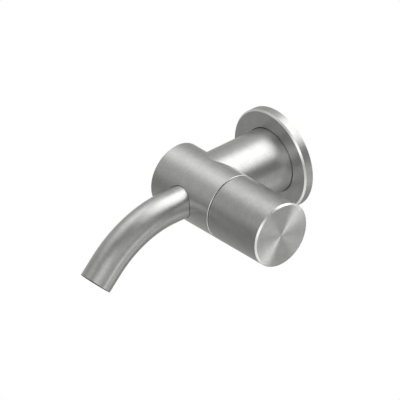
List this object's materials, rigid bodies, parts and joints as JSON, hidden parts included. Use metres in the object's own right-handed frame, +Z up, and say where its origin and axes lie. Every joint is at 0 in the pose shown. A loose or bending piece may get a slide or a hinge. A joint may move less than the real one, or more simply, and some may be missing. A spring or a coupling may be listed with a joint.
{
  "type": "wall-mounted basin mixer tap",
  "caption": "Round wall-mounted basin mixer: tube neck with rosette, cross body with a coaxial turning handle and a bent spout, with ceramic disc cartridge inside.",
  "frame": {"origin": "centre of the back face that lies on the wall, on the neck axis", "axes": "+Y into the wall along the neck axis, +Z up, +X along the body towards the handle; the spout reaches along -Y"},
  "size_m": [0.0993, 0.1572, 0.067],
  "materials": {
    "satin_steel": "fine satin brushing",
    "plate_steel": "plain rolled",
    "screw_steel": "turned",
    "plated_brass": "nickel plated",
    "brass": "machined",
    "copper": "drawn tube",
    "black_rubber": "moulded",
    "white_plastic": "moulded",
    "dark_plastic": "moulded",
    "red_plastic": "moulded",
    "disc_ceramic": "lapped"
  },
  "bodies": {
    "tap": {"mixer_body": "satin_steel", "neck_tube": "satin_steel", "neck_grub_screw": "screw_steel", "wall_plate": "plate_steel", "wall_screws": "screw_steel", "rosette": "satin_steel", "rosette_grip_ring": "black_rubber", "rosette_wall_seal": "black_rubber", "inlet_block": "brass", "hot_feed_tube": "copper", "cold_feed_tube": "copper", "feed_tube_seals": "black_rubber", "cartridge_housing": "white_plastic", "cartridge_base": "dark_plastic", "port_seals": "black_rubber", "fixed_disc": "disc_ceramic", "retaining_nut": "brass", "glide_ring": "white_plastic", "spout_tube": "satin_steel", "spout_nipple": "brass", "nipple_seals": "black_rubber", "spout_grub_screw": "screw_steel", "aerator_housing": "plated_brass", "aerator_core": "dark_plastic", "aerator_screen": "screw_steel", "aerator_seal": "black_rubber"},
    "handle_set": {"handle": "satin_steel", "handle_hub": "brass", "hub_screw": "screw_steel", "handle_grub_screw": "screw_steel", "spindle": "brass", "spindle_seals": "black_rubber", "stop_ring": "red_plastic", "disc_carrier": "dark_plastic", "moving_disc": "disc_ceramic"}
  },
  "joints": [
    {"name": "handle_turn", "type": "hinge", "parent": "tap", "child": "handle_set", "pos_m": [0.0257, -0.0578, 0], "axis": [1, 0, 0], "range_deg": [0, 100]}
  ]
}
